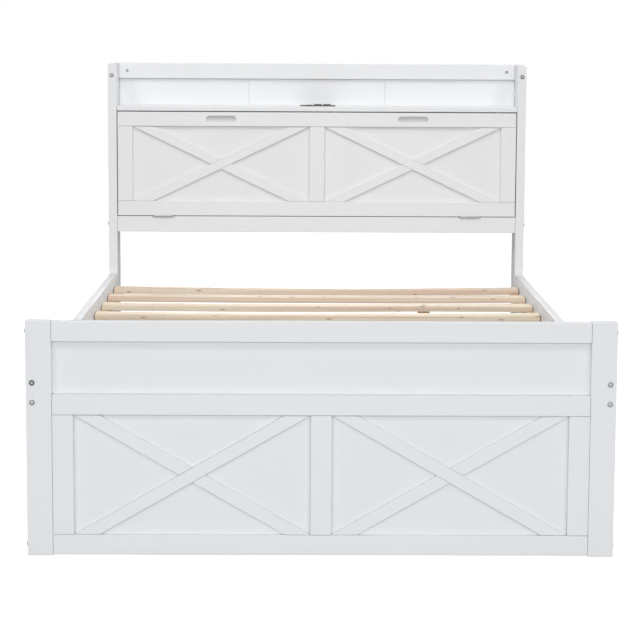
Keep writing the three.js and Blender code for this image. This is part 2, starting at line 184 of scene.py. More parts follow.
paintLook = {
    "colour": (0.788, 0.802, 0.820, 1),
    "thinColour": (0.768, 0.783, 0.802, 1),  # where the coat lies thin over the grain
    "thinBand": (0.42, 0.85),
    "fibreShare": 0.55,  # of what makes the coat thin, and the rest is clouds
    "cornerShadeColour": (0.600, 0.610, 0.620, 1),  # painted shade: a darker coat in the inner corners and under overhangs
    "cornerShadeBand": (0.45, 0.85),
    "cornerShadeReach": 0.005,
    "cornerShadeSamples": 8,
    "shadeTilt": (0, 0, 0.8),  # leans the corner test upwards, so that the painted shade gathers under overhangs
    "recessShadeShare": 0.80,  # painted shade: tone of the coat at the bottom of a recess, where shadow falls
    "recessShadeEase": 0.0005,  # how far behind the recess the painted shade still holds
    "roughness": 0.50,
    "roughnessSpread": 0.12,
    "gloss": 0.06,
    "clouds": {"scale": 3.0, "detail": 3},
    "fibres": {"along": 5.0, "across": 210.0, "detail": 5, "roughness": 0.62},
    "fibreDepth": 0.00006,
    "peel": {"scale": 620.0, "detail": 1},
    "peelDepth": 0.000035,
}


# 1 inside a box that is given in the bed's frame, 0 outside it
def insideBox(graph, place, low, high):
    offset = graph.vector("ABSOLUTE", graph.vector("SUBTRACT", place, (low + high) / 2))
    inset = graph.vector("SUBTRACT", (high - low) / 2, offset)
    room = graph.node("ShaderNodeSeparateXYZ", None, {0: inset})
    least = graph.math("MINIMUM", graph.math("MINIMUM", room, room.other("Y")), room.other("Z"))
    return graph.math("GREATER_THAN", least, 0.0)


# Satin white paint on solid wood, with the fibres showing faintly through along one axis, and painted
# shade in its inner corners and in a given recess
def paintMaterial(name, axis, recess=None):
    look = paintLook
    material, graph, place = startMaterial(name)
    fibres = graph.grain(place, axis, **look["fibres"])
    clouds = graph.noise(place, **look["clouds"])
    peel = graph.noise(place, **look["peel"])
    cover = fibres * look["fibreShare"] + clouds * (1 - look["fibreShare"])
    coat = graph.blend(graph.rise(cover, *look["thinBand"]), look["colour"], look["thinColour"])
    # Painted shade: ambient occlusion darkens the coat in inner corners and under overhangs
    facing = graph.node("ShaderNodeNewGeometry", out="Normal")
    shadeFacing = graph.vector("NORMALIZE", graph.vector("ADD", facing, look["shadeTilt"]))
    openness = graph.node("ShaderNodeAmbientOcclusion", {"samples": look["cornerShadeSamples"]},
                          {"Distance": look["cornerShadeReach"], "Normal": shadeFacing}, "AO")
    coat = graph.blend(graph.rise(openness, *look["cornerShadeBand"]), look["cornerShadeColour"], coat)
    # Painted shade at the bottom of a recess, such as the finger pulls
    if recess:
        recessShade = toned(look["colour"], look["recessShadeShare"])
        coat = graph.blend(insideBox(graph, place, *recess), coat, recessShade)
    closeMaterial(graph, {
        "Base Color": coat,
        "Roughness": look["roughness"] + graph.swing(clouds, look["roughnessSpread"]),
        "Normal": graph.bump(fibres * look["fibreDepth"] + peel * look["peelDepth"]),
        "Specular IOR Level": look["gloss"],
    })
    return material


# The front of the door's panel that shows in the finger pulls, which gets painted shade
def pullRecess():
    panelLow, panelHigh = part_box("door_panel")
    railLow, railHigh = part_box("door_top_rail")
    return railLow, Vector((railHigh.x, panelLow.y + paintLook["recessShadeEase"], panelHigh.z))


pineLook = {
    "pale": (0.860, 0.775, 0.620, 1),
    "warm": (0.810, 0.640, 0.510, 1),
    "late": (0.600, 0.425, 0.290, 1),  # the darker late wood of each ring
    "roughness": 0.70,
    "roughnessSpread": 0.12,
    "gloss": 0.12,
    "fibreDepth": 0.00007,
    "patches": {"scale": 1.7, "detail": 2},
    "bands": {"along": 0.8, "across": 75.0, "detail": 2},
    "bandShare": 0.65,  # of what makes the wood warm, and the rest is patches
    "toneSpread": 0.12,  # between one slat and another
    "warmBand": (0.38, 0.62),
    "rings": {"along": 0.9, "across": 130.0, "detail": 3},
    "ringBand": (0.47, 0.62),
    "ringTint": 0.22,
    "ringStreakTint": 0.40,  # a ring is darker where a streak crosses it
    "streaks": {"along": 3.2, "across": 520.0, "detail": 5, "roughness": 0.65},
    "streakBand": (0.45, 0.75),
    "streakTint": 0.16,
    "wander": {"scale": 2.6, "detail": 2},
    "wanderDepth": 0.006,
    "knot": (0.270, 0.170, 0.115, 1),
    "knotEdge": (0.520, 0.340, 0.210, 1),
    "knotAlong": 9.0,
    "knotAcross": (0.0, 15.0, 42.0),  # an edge shows more knots to the width than a broad face
    "knotScatter": 0.9,
    "knotChance": 0.40,
    "knotRadius": 0.050,
    "knotRim": {"scale": 160.0, "detail": 2},
    "knotRimSpread": 0.05,
    "heartShare": 0.55,  # of the radius, dark all through
    "haloShare": 3.0,  # of the radius, where the grain bends
    "haloTint": 0.55,
    "knotBend": 0.012,
}
legLook = dict(pineLook, pale=(0.560, 0.350, 0.170, 1), warm=(0.470, 0.270, 0.115, 1),
               late=(0.300, 0.150, 0.060, 1), knotChance=0.1)
cleatLook = dict(pineLook, pale=(0.700, 0.560, 0.420, 1), warm=(0.600, 0.440, 0.300, 1), knotChance=0.2)

# Turns that bring grain that runs along Y or Z to run along X
grainTurns = {yAxis: (0, 0, math.pi / 2), zAxis: (0, math.pi / 2, 0)}


# The dark hearts of small knots, and the halos in which the grain bends round them
def knotMasks(graph, place, look):
    along = graph.node("ShaderNodeSeparateXYZ", None, {0: place}) * look["knotAlong"]
    across = graph.node("ShaderNodeVectorMath", {"operation": "DOT_PRODUCT"},
                        {0: place, 1: look["knotAcross"]}, 1)
    cells = graph.node("ShaderNodeCombineXYZ", None, {0: along, 1: across})
    knots = graph.node("ShaderNodeTexVoronoi",
                       {"voronoi_dimensions": "2D", "feature": "F1", "distance": "EUCLIDEAN"},
                       {"Vector": cells, "Scale": 1.0, "Randomness": look["knotScatter"]})
    chance = graph.node("ShaderNodeSeparateColor", None, {0: knots.other("Color")})
    isKnot = graph.math("LESS_THAN", chance, look["knotChance"])
    distance = knots + graph.swing(graph.noise(place, **look["knotRim"]), look["knotRimSpread"])
    radius = look["knotRadius"]
    heart = isKnot * (1 - graph.rise(distance, radius * look["heartShare"], radius))
    halo = isKnot * (1 - graph.rise(distance, radius, radius * look["haloShare"]))
    return heart, halo


# Planed pine: rings cut lengthwise into streaks, small knots that the grain bends round
def pineMaterial(name, axis, look, hasTone=False):
    material, graph, place = startMaterial(name)
    if axis in grainTurns:
        place = graph.node("ShaderNodeMapping", None, {"Vector": place, "Rotation": grainTurns[axis]})
    heart, halo = knotMasks(graph, place, look)
    wander = graph.noise(place, **look["wander"]) * look["wanderDepth"] + halo * look["knotBend"]
    bent = graph.vector("ADD", place, graph.node("ShaderNodeCombineXYZ", None, {1: wander, 2: wander}))
    rings = graph.grain(bent, xAxis, **look["rings"])
    streaks = graph.grain(bent, xAxis, **look["streaks"])
    bands = graph.grain(bent, xAxis, **look["bands"])
    patches = graph.noise(place, **look["patches"])
    warmth = patches * (1 - look["bandShare"]) + bands * look["bandShare"]
    if hasTone:
        warmth = warmth + graph.swing(graph.attribute("tone"), look["toneSpread"])
    base = graph.blend(graph.rise(warmth, *look["warmBand"]), look["pale"], look["warm"])
    ringTint = look["ringTint"] + streaks * look["ringStreakTint"]
    base = graph.blend(graph.rise(rings, *look["ringBand"]) * ringTint, base, look["late"])
    base = graph.blend(graph.rise(streaks, *look["streakBand"]) * look["streakTint"], base, look["late"])
    base = graph.blend(halo * look["haloTint"], base, look["knotEdge"])
    base = graph.blend(heart, base, look["knot"])
    closeMaterial(graph, {
        "Base Color": base,
        "Roughness": look["roughness"] + graph.swing(streaks, look["roughnessSpread"]),
        "Normal": graph.bump(streaks * look["fibreDepth"] + rings * look["fibreDepth"]),
        "Specular IOR Level": look["gloss"],
    })
    return material


metalLook = {
    "hinge": {"colour": (0.34, 0.345, 0.35, 1), "roughness": 0.42},
    "screw": {"colour": (0.42, 0.42, 0.41, 1), "roughness": 0.38},
    "contact": {"colour": (0.62, 0.46, 0.19, 1), "roughness": 0.28},
    "roughnessSpread": 0.2,
    "clouds": {"scale": 260.0, "detail": 3},
    "dullBand": (0.4, 0.75),
    "dullShare": 0.72,
    "marks": {"scale": 2600.0, "detail": 2},
    "markDepth": 0.00001,
}


# Plated metal with cloudy plating and fine drawing marks
def metalMaterial(name, finish):
    look = metalLook
    material, graph, place = startMaterial(name)
    clouds = graph.noise(place, **look["clouds"])
    marks = graph.noise(place, **look["marks"])
    dull = toned(finish["colour"], look["dullShare"])
    closeMaterial(graph, {
        "Base Color": graph.blend(graph.rise(clouds, *look["dullBand"]), finish["colour"], dull),
        "Metallic": 1.0,
        "Roughness": finish["roughness"] + graph.swing(clouds, look["roughnessSpread"]),
        "Normal": graph.bump(marks, look["markDepth"]),
    })
    return material


boltFinish = {
    "dark": (0.080, 0.086, 0.094, 1),  # the oiled heads differ, from dark to middle grey
    "grey": (0.330, 0.342, 0.340, 1),
    "socket": (0.600, 0.605, 0.610, 1),  # bare steel where the key has rubbed, and a painted highlight for the lit floor of the socket
    "metal": 0.25,  # most of what shows is the black oxide, not the steel
    "roughness": 0.42,
    "roughnessSpread": 0.2,
    "clouds": {"scale": 260.0, "detail": 3},
    "cloudDepth": 0.00002,
}


# Oiled bolt heads, each of its own grey, with a socket floor painted bright: rubbed steel and painted
# highlight
def boltMaterial(name):
    look = boltFinish
    material, graph, place = startMaterial(name)
    clouds = graph.noise(place, **look["clouds"])
    ring = graph.blend(graph.attribute("tone"), look["dark"], look["grey"])
    closeMaterial(graph, {
        "Base Color": graph.blend(graph.attribute("socket"), ring, look["socket"]),
        "Metallic": look["metal"],
        "Roughness": look["roughness"] + graph.swing(clouds, look["roughnessSpread"]),
        "Normal": graph.bump(clouds, look["cloudDepth"]),
    })
    return material


plasticLook = {
    "black": {"colour": (0.018, 0.018, 0.020, 1), "roughness": 0.36},
    "catch": {"colour": (0.055, 0.056, 0.058, 1), "roughness": 0.50},
    "tongue": {"colour": (0.74, 0.75, 0.76, 1), "roughness": 0.42},
    "roughnessSpread": 0.16,
    "texture": {"scale": 1500.0, "detail": 2},
    "textureDepth": 0.00002,
    "clouds": {"scale": 40.0, "detail": 2},
    "lightBand": (0.35, 0.8),
    "lightShare": 1.25,
    "lightLift": 0.006,
}


# Moulded plastic with a fine spark-eroded texture
def plasticMaterial(name, finish):
    look = plasticLook
    material, graph, place = startMaterial(name)
    texture = graph.noise(place, **look["texture"])
    clouds = graph.noise(place, **look["clouds"])
    lighter = toned(finish["colour"], look["lightShare"], look["lightLift"])
    closeMaterial(graph, {
        "Base Color": graph.blend(graph.rise(clouds, *look["lightBand"]), finish["colour"], lighter),
        "Roughness": finish["roughness"] + graph.swing(texture, look["roughnessSpread"]),
        "Normal": graph.bump(texture, look["textureDepth"]),
    })
    return material


paints = [paintMaterial("white_paint_" + name, axis) for axis, name in enumerate("xyz")]
# White paint with painted shade at the bottom of the finger pulls
pullShadedPaint = paintMaterial("white_paint_pulls", xAxis, pullRecess())
pineSlats = pineMaterial("pine_slats", xAxis, pineLook, hasTone=True)
pineLegs = pineMaterial("pine_legs", zAxis, legLook)
pineCleats = pineMaterial("pine_cleats", yAxis, cleatLook)
boltSteel = boltMaterial("bolt_steel")
hingeSteel = metalMaterial("hinge_steel", metalLook["hinge"])
screwSteel = metalMaterial("screw_steel", metalLook["screw"])
contactBrass = metalMaterial("contact_brass", metalLook["contact"])
blackPlastic = plasticMaterial("black_plastic", plasticLook["black"])
catchPlastic = plasticMaterial("catch_plastic", plasticLook["catch"])
tonguePlastic = plasticMaterial("tongue_plastic", plasticLook["tongue"])
print("materials made:", len(bpy.data.materials))


# CAD nodes: finish and softened edges

edgeLook = {
    "weld": 0.00001,
    "flat": math.radians(0.5),
    "round": 0.0008,
    "roundSteps": 2,
}

# Nodes that aren't painted along their grain, by the start of their names
finishes = {
    "support_leg": pineLegs,
    "slat_cleat": pineCleats,
    "power_socket": blackPlastic,
    "door_catch": catchPlastic,
    "door_panel": pullShadedPaint,
}


# Live modifiers only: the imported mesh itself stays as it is
def softenEdges(piece):
    weld = piece.modifiers.new("weld", "WELD")
    weld.merge_threshold = edgeLook["weld"]
    flat = piece.modifiers.new("flat", "DECIMATE")
    flat.decimate_type = "DISSOLVE"
    flat.angle_limit = edgeLook["flat"]
    soft = piece.modifiers.new("soft", "BEVEL")
    soft.width = edgeLook["round"]
    soft.segments = edgeLook["roundSteps"]
    soft.limit_method = "ANGLE"
    soft.angle_limit = smoothAngle
    soft.harden_normals = True


def dress(piece, material):
    piece.data.materials.clear()
    piece.data.materials.append(material)


def longestAxis(name):
    low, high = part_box(name)
    size = high - low
    return max(range(3), key=lambda axis: size[axis])


def finishOf(name):
    for start, material in finishes.items():
        if name.startswith(start):
            return material
    return paints[longestAxis(name)]


dressed = [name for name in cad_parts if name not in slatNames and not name.startswith("hinge_")]
for name in dressed:
    dress(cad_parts[name], finishOf(name))
    softenEdges(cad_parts[name])
print("CAD nodes dressed:", len(dressed))


# Mesh helpers

def addObject(name, data):
    made = bpy.data.objects.new(name, data)
    bpy.context.scene.collection.objects.link(made)
    return made


def linkMesh(name, bm):
    bmesh.ops.remove_doubles(bm, verts=bm.verts, dist=mergeDistance)
    bmesh.ops.recalc_face_normals(bm, faces=bm.faces)
    mesh = bpy.data.meshes.new(name)
    bm.to_mesh(mesh)
    bm.free()
    return addObject(name, mesh)


# A closed solid through rings of as many points each
def addLoft(bm, rings):
    rows = [[bm.verts.new(point) for point in ring] for ring in rings]
    count = len(rows[0])
    for lower, upper in zip(rows, rows[1:]):
        for index in range(count):
            after = (index + 1) % count
            bm.faces.new((lower[index], lower[after], upper[after], upper[index]))
    bm.faces.new(list(reversed(rows[0])))
    bm.faces.new(rows[-1])


def addBlock(bm, low, high):
    corners = ((0, 0), (1, 0), (1, 1), (0, 1))
    addLoft(bm, [[
        (high[0] if right else low[0], high[1] if back else low[1], height) for right, back in corners
    ] for height in (low[2], high[2])])


# A piece of hinge steel, with sharp edges only where its faces meet at a clear angle
def linkSteel(name, bm):
    piece = linkMesh(name, bm)
    piece.data.shade_smooth()
    piece.data.set_sharp_from_angle(angle=smoothAngle)
    dress(piece, hingeSteel)
    return piece


# A mesh of bare points, with the other values of each row kept on its point
def addPoints(name, rows):
    mesh = bpy.data.meshes.new(name)
    mesh.from_pydata([row["place"] for row in rows], [], [])
    for key, value in rows[0].items():
        if key == "place":
            continue
        isVector = isinstance(value, Vector)
        layer = mesh.attributes.new(key, "FLOAT_VECTOR" if isVector else "FLOAT", "POINT")
        for item, row in zip(layer.data, rows):
            setattr(item, "vector" if isVector else "value", row[key])
    return addObject(name, mesh)


# A geometry tree whose inputs are named and typed in a dictionary
def startTree(name, inputs):
    tree = bpy.data.node_groups.new(name, "GeometryNodeTree")
    graph = Graph(tree)
    tree.interface.new_socket("Geometry", in_out="INPUT", socket_type="NodeSocketGeometry")
    tree.interface.new_socket("Geometry", in_out="OUTPUT", socket_type="NodeSocketGeometry")
    for label, kind in inputs.items():
        tree.interface.new_socket(label, in_out="INPUT", socket_type="NodeSocket" + kind)
    return graph, graph.node("NodeGroupInput")


# Keeps a random tone of its own on each point
def addTones(graph, given):
    tone = graph.node("FunctionNodeRandomValue", {"data_type": "FLOAT"}, {"Seed": given.other("Seed")}, 1)
    points = graph.node("GeometryNodeStoreNamedAttribute", {"data_type": "FLOAT", "domain": "POINT"},
                        {"Geometry": given, "Name": "tone", "Value": tone})
    return tone, points


# Smooth faces with sharp arrises, then the realised result with its material
def finishTree(graph, geometry, given):
    geometry = graph.node("GeometryNodeRealizeInstances", None, {"Geometry": geometry})
    geometry = graph.node("GeometryNodeSetShadeSmooth", {"domain": "FACE"}, {0: geometry, 2: True})
    sharp = graph.math("GREATER_THAN", graph.node("GeometryNodeInputMeshEdgeAngle"), smoothAngle)
    geometry = graph.node("GeometryNodeSetShadeSmooth", {"domain": "EDGE"},
                          {0: geometry, 1: sharp, 2: False})
    geometry = graph.node("GeometryNodeSetMaterial", None,
                          {0: geometry, "Material": given.other("Material")})
    graph.node("NodeGroupOutput", None, {0: geometry})
    return graph.tree


# Runs the tree on the base points and keeps the result as a plain mesh
def grow(name, base, tree, values):
    modifier = base.modifiers.new(name, "NODES")
    modifier.node_group = tree
    for item in tree.interface.items_tree:
        if item.in_out == "INPUT" and item.name in values:
            modifier[item.identifier] = values[item.name]
    bpy.context.view_layer.update()
    evaluated = base.evaluated_get(bpy.context.evaluated_depsgraph_get())
    mesh = bpy.data.meshes.new_from_object(evaluated)
    mesh.name = name
    piece = addObject(name, mesh)
    base.modifiers.remove(modifier)
    bpy.data.objects.remove(base)
    return piece


# Paint that fills the joints around the footboard's panels

beadLook = {
    "reach": 0.0014,
    "sink": 0.0002,  # how far it goes into the wood on both sides
}


# A three-sided strip in the corner between two faces; away and out point along the faces
def addBead(bm, start, end, away, out):
    reach, sink = beadLook["reach"], beadLook["sink"]
    addLoft(bm, [[
        corner + out * reach - away * sink,
        corner + away * reach - out * sink,
        corner - (out + away) * sink,
    ] for corner in (start, end)])


def makeBeads():
    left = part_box("footboard_post_left")[1].x
    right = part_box("footboard_post_right")[0].x
    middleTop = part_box("footboard_middle_rail")[1].z
    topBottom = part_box("footboard_top_rail")[0].z
    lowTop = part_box("footboard_bottom_rail")[1].z
    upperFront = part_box("footboard_upper_panel")[0].y
    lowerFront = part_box("footboard_lower_panel")[0].y
    bm = bmesh.new()
    for start, end, away in (
        ((left, upperFront, middleTop), (right, upperFront, middleTop), up),
        ((left, upperFront, topBottom), (right, upperFront, topBottom), -up),
        ((left, upperFront, middleTop), (left, upperFront, topBottom), toRight),
        ((right, upperFront, middleTop), (right, upperFront, topBottom), -toRight),
        ((left, lowerFront, lowTop), (right, lowerFront, lowTop), up),
    ):
        addBead(bm, Vector(start), Vector(end), away, toFront)
    piece = linkMesh("paint_beads", bm)
    dress(piece, paints[0])
    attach(piece, "bed_frame")


makeBeads()
print("paint beads made")


# Pine slats

slatLook = {
    "sag": 0.003,
    "firstSag": 0.007,  # the slat nearest the headboard hangs lowest
    "leastSpan": 0.0001,  # stands in for the span beyond the leg where there is no leg
    "edgeRound": 0.0009,
    "roundSteps": 4,
    "endEase": 0.006,
    "endSharpness": 1200.0,  # the ease takes up the last 1/1200 of half the length
    "endGap": 0.0012,  # each end stops this much short of the solid's
    "steps": 61,
    "seed": 7,
}


# Between two supports a slat hangs in a parabola, as deep as the square of the span
def hung(graph, given, x, z):
    halfLength = given.other("Half Length")
    leg = graph.math("MINIMUM", graph.stored("support"), halfLength)
    leftSpan = leg + halfLength
    rightSpan = graph.math("MAXIMUM", halfLength - leg, given.other("Least Span"))
    longest = graph.math("MAXIMUM", leftSpan, rightSpan)
    for way, span in ((x + halfLength, leftSpan), (x - leg, rightSpan)):
        share = graph.clamped(way / span)  # share * (1 - share) is a quarter in the middle, so the 4
        z = z - share * (1 - share) * 4 * graph.stored("sag") * (span / longest) ** 2
    return z


def slatOutline(graph, given):
    outline = graph.node("GeometryNodeCurvePrimitiveQuadrilateral", {"mode": "RECTANGLE"},
                         {"Width": given.other("Width"), "Height": given.other("Thickness")})
    return graph.node("GeometryNodeFilletCurve", {"mode": "POLY"}, {
        "Curve": outline, "Count": given.other("Round Steps"), "Radius": given.other("Edge Round"),
    })


def slatTree():
    graph, given = startTree("slats", {
        "Half Length": "Float", "Width": "Float", "Thickness": "Float", "Edge Round": "Float",
        "Round Steps": "Int", "End Ease": "Float", "End Sharpness": "Float", "Least Span": "Float",
        "Steps": "Int", "Seed": "Int", "Material": "Material",
    })
    halfLength = given.other("Half Length")
    points = addTones(graph, given)[1]
    unit = graph.node("GeometryNodeCurvePrimitiveLine", None, {"Start": -toRight, "End": toRight})
    fine = graph.node("GeometryNodeResampleCurve", None, {"Curve": unit, "Count": given.other("Steps")})
    copies = graph.node("GeometryNodeInstanceOnPoints", None, {"Points": points, "Instance": fine})
    lines = graph.node("GeometryNodeRealizeInstances", None, {"Geometry": copies})

    # The steps crowd towards both ends, so that the last one is short enough to ease the end
    parts = graph.node("ShaderNodeSeparateXYZ", None, {0: graph.node("GeometryNodeInputPosition")})
    x = halfLength * graph.math("SINE", parts * (math.pi / 2))
    z = hung(graph, given, x, parts.other("Z"))
    moved = graph.node("ShaderNodeCombineXYZ", None, {0: x, 1: parts.other("Y"), 2: z})
    lines = graph.node("GeometryNodeSetPosition", None, {"Geometry": lines, "Position": moved})
    lines = graph.node("GeometryNodeSetCurveNormal", {"mode": "Z_UP"}, {"Curve": lines})
    fromEnd = 1 - graph.math("ABSOLUTE", x) / halfLength
    ease = 1 - given.other("End Ease") * (1 - graph.clamped(fromEnd * given.other("End Sharpness")))
    lines = graph.node("GeometryNodeSetCurveRadius", None, {"Curve": lines, "Radius": ease})
    boards = graph.node("GeometryNodeCurveToMesh", None, {
        "Curve": lines, "Profile Curve": slatOutline(graph, given),
        "Scale": graph.node("GeometryNodeInputRadius"), "Fill Caps": True,
    })
    return finishTree(graph, boards, given)


def legUnder(slatName):
    name = "support_leg_" + slatName
    return middle(name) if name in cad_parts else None


def makeSlats():
    look = slatLook
    low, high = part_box(slatNames[0])
    rows = []
    for name in slatNames:
        centre = middle(name)
        leg = legUnder(name)
        rows.append({
            "place": Vector((0, centre.y, centre.z)),
            "support": leg.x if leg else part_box(name)[1].x,
            "sag": look["firstSag"] if name == slatNames[0] else look["sag"],
        })
    piece = grow("pine_slats", addPoints("slat_points", rows), slatTree(), {
        "Half Length": high.x - look["endGap"],
        "Width": high.y - low.y,
        "Thickness": high.z - low.z,
        "Edge Round": look["edgeRound"],
        "Round Steps": look["roundSteps"],
        "End Ease": look["endEase"],
        "End Sharpness": look["endSharpness"],
        "Least Span": look["leastSpan"],
        "Steps": look["steps"],
        "Seed": look["seed"],
        "Material": pineSlats,
    })
    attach(piece, "bed_frame")
    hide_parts(*slatNames)
    print("slats made:", len(piece.data.polygons), "faces")


makeSlats()


# Fasteners: one head for each kind, copied to points that face outwards

headSides = 24


def roundRing(radius, steps=headSides):
    angles = [2 * math.pi * step / steps for step in range(steps)]
    return [(radius * math.cos(angle), radius * math.sin(angle)) for angle in angles]


def hexRing(acrossFlats):
    sixthTurn = math.pi / 3
    ring = []
    for step in range(headSides):
        angle = 2 * math.pi * step / headSides
        fromFlat = (angle % sixthTurn) - sixthTurn / 2
        reach = acrossFlats / 2 / math.cos(fromFlat)
        ring.append((reach * math.cos(angle), reach * math.sin(angle)))
    return ring


# A cross of four arms, six points to each quarter
def crossRing(reach, halfWidth):
    halfway = (reach + halfWidth) / 2
    quarter = [(reach, 0), (reach, halfWidth), (halfway, halfWidth),
               (halfWidth, halfWidth), (halfWidth, halfway), (halfWidth, reach)]
    ring = []
    for turn in range(4):
        sine, cosine = round(math.sin(turn * math.pi / 2)), round(math.cos(turn * math.pi / 2))
        ring += [(x * cosine - y * sine, x * sine + y * cosine) for x, y in quarter]
    return ring


def slotRing(reach, halfWidth):
    least = 0.001  # keeps clear of a division by zero on the axes
    ring = []
    for x, y in roundRing(1.0):
        scale = min(reach / max(abs(x), least), halfWidth / max(abs(y), least))
        ring.append((x * scale, y * scale))
    return ring


# A head from below: its root in the wood, the rings of its crown, then its socket, cross or slot
def makeHead(name, look, rows):
    radius, height = look["radius"], look["height"]
    root = [(roundRing(radius * look["rootShare"]), -look["rootDepth"])]
    crown = [(roundRing(radius * across), height * share) for across, share in look["crownShares"]]
    bm = bmesh.new()
    addLoft(bm, [[(x, y, level) for x, y in ring] for ring, level in root + crown + rows])
    return linkMesh(name, bm)


# Marks the floor of a socket or slot, which the material paints bright as rubbed steel and painted
# highlight
def markSocket(piece, reach, height):
    layer = piece.data.attributes.new("socket", "FLOAT", "POINT")
    for item, vertex in zip(layer.data, piece.data.vertices):
        isFloor = vertex.co.xy.length < reach and vertex.co.z < height
        item.value = 1.0 if isFloor else 0.0


boltLook = {
    "radius": 0.0070,
    "height": 0.0024,
    "rootShare": 1.0,
    "rootDepth": 0.0002,
    "crownShares": ((1.0, 0.45), (0.93, 0.82), (0.86, 0.95), (0.62, 1.0)),  # of the radius and the height
    "socket": 0.0046,
    "socketDepth": 0.0016,
    "mouthShare": 1.08,
    "mouthDepth": 0.0002,
}
sunkBoltLook = dict(boltLook, height=0.0009, socketDepth=0.0007)


def socketHead(name, look):
    height, socket = look["height"], look["socket"]
    piece = makeHead(name, look, [
        (hexRing(socket * look["mouthShare"]), height),
        (hexRing(socket), height - look["mouthDepth"]),
        (hexRing(socket), height - look["socketDepth"]),
    ])
    markSocket(piece, socket, height - look["socketDepth"] / 2)
    return piece


screwLook = {
    "radius": 0.0038,
    "height": 0.0009,
    "rootShare": 0.5,
    "rootDepth": 0.0016,
    "crownShares": ((1.0, 0.0), (0.93, 0.55), (0.75, 0.88)),
    "crossReach": 0.0021,
    "crossHalfWidth": 0.00045,
    "crossDepth": 0.0011,
    "reachShare": 0.8,  # of the cross that is left at its bottom
    "widthShare": 0.7,
}
legScrewLook = dict(screwLook, radius=0.0046, height=0.0004)
hingeScrewLook = dict(screwLook, radius=0.0025, height=0.0004, crossReach=0.0014,
                      crossHalfWidth=0.0003, crossDepth=0.0005)


def crossHead(name, look):
    height, reach, halfWidth = look["height"], look["crossReach"], look["crossHalfWidth"]
    bottom = crossRing(reach * look["reachShare"], halfWidth * look["widthShare"])
    return makeHead(name, look, [
        (crossRing(reach, halfWidth), height),
        (bottom, height - look["crossDepth"]),
    ])


nutLook = {
    "radius": 0.0050,
    "height": 0.0006,
    "rootShare": 1.0,
    "rootDepth": 0.0002,
    "crownShares": ((1.0, 0.5), (0.9, 1.0)),
    "slotReach": 0.0036,
    "slotHalfWidth": 0.0007,
    "slotDepth": 0.0016,
}


def nutHead(name, look):
    height, reach, halfWidth = look["height"], look["slotReach"], look["slotHalfWidth"]
    slot = slotRing(reach, halfWidth)
    piece = makeHead(name, look, [(slot, height), (slot, height - look["slotDepth"])])
    markSocket(piece, reach + halfWidth, height - look["slotDepth"] / 2)
    return piece


def fastenerTree():
    graph, given = startTree("fasteners", {"Head": "Object", "Seed": "Int", "Material": "Material"})
    tone, points = addTones(graph, given)
    facing = graph.stored("facing", "FLOAT_VECTOR")
    outwards = graph.node("FunctionNodeAlignRotationToVector", {"axis": "Z"}, {"Vector": facing})
    turn = {"Axis": up, "Angle": tone * (2 * math.pi)}
    spin = graph.node("FunctionNodeAxisAngleToRotation", None, turn)
    turned = graph.node("FunctionNodeRotateRotation", {"rotation_space": "LOCAL"},
                        {"Rotation": outwards, "Rotate By": spin})
    head = graph.node("GeometryNodeObjectInfo", {"transform_space": "ORIGINAL"},
                      {"Object": given.other("Head")}, "Geometry")
    copies = graph.node("GeometryNodeInstanceOnPoints", None,
                        {"Points": points, "Instance": head, "Rotation": turned})
    return finishTree(graph, copies, given)


fasteners = fastenerTree()
fastenerSeeds = {
    "frame_bolts": 2279,
    "rail_bolts_back": 5,
    "barrel_nuts": 11,
    "leg_screws": 31,
    "cleat_screws": 13,
    "back_board_screws": 17,
    "hinge_screws_fixed": 19,
    "hinge_screws_door": 23,
    "strike_screws": 29,
}


def setFasteners(name, head, rows, material, body):
    points = addPoints(name + "_points", [{"place": place, "facing": facing} for place, facing in rows])
    values = {"Head": head, "Seed": fastenerSeeds[name], "Material": material}
    piece = grow(name, points, fasteners, values)
    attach(piece, body)


boltPlaces = {
    "footInset": 0.0155,  # from the post's outer side
    "headInset": 0.0140,
    "pairSpacing": 0.049,
    "pairLift": 0.0015,
    "headFrontDrop": 0.041,
    "nutInset": 0.0292,
}


def outerX(name, sign):
    low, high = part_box(name)
    return high.x if sign > 0 else low.x


def pairHeights():
    centre = middle("side_rail_left").z + boltPlaces["pairLift"]
    return centre + boltPlaces["pairSpacing"] / 2, centre - boltPlaces["pairSpacing"] / 2


def frameBoltRows():
    rows = []
    for side, sign in sides.items():
        footPost, headPost = "footboard_post_" + side, "headboard_post_" + side
        outwards = Vector((sign, 0, 0))
        frontX = outerX(footPost, sign) - sign * boltPlaces["footInset"]
        for z in pairHeights():
            rows.append((Vector((frontX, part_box(footPost)[0].y, z)), toFront))
        for rail in ("footboard_top_rail", "footboard_bottom_rail"):
            rows.append((Vector((outerX(footPost, sign), middle(footPost).y, middle(rail).z)), outwards))
        for rail in ("headboard_top_rail", "headboard_bottom_rail"):
            rows.append((Vector((outerX(headPost, sign), middle(rail).y, middle(rail).z)), outwards))
        low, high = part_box(headPost)
        headX = outerX(headPost, sign) - sign * boltPlaces["headInset"]
        rows.append((Vector((headX, low.y, high.z - boltPlaces["headFrontDrop"])), toFront))
    return rows


def backBoltRows():
    rows = []
    for side, sign in sides.items():
        x = outerX("footboard_post_" + side, sign) - sign * boltPlaces["footInset"]
        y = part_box("headboard_post_" + side)[1].y
        rows += [(Vector((x, y, z)), toBack) for z in pairHeights()]
    return rows


def nutRows():
    rail = "headboard_top_rail"
    rows = []
    for sign in sides.values():
        x = outerX(rail, sign) - sign * boltPlaces["nutInset"]
        rows.append((Vector((x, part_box(rail)[0].y, middle(rail).z)), toFront))
    return rows


screwPlaces = {
    "cleatCount": 7,
    "cleatInset": 0.06,
    "boardCount": 3,
    "boardInset": 0.04,
    "boardSink": 0.0006,
}


# Even steps between the insets at both ends
def spaced(low, high, inset, count):
    span = high - low - 2 * inset
    return [low + inset + span * step / (count - 1) for step in range(count)]


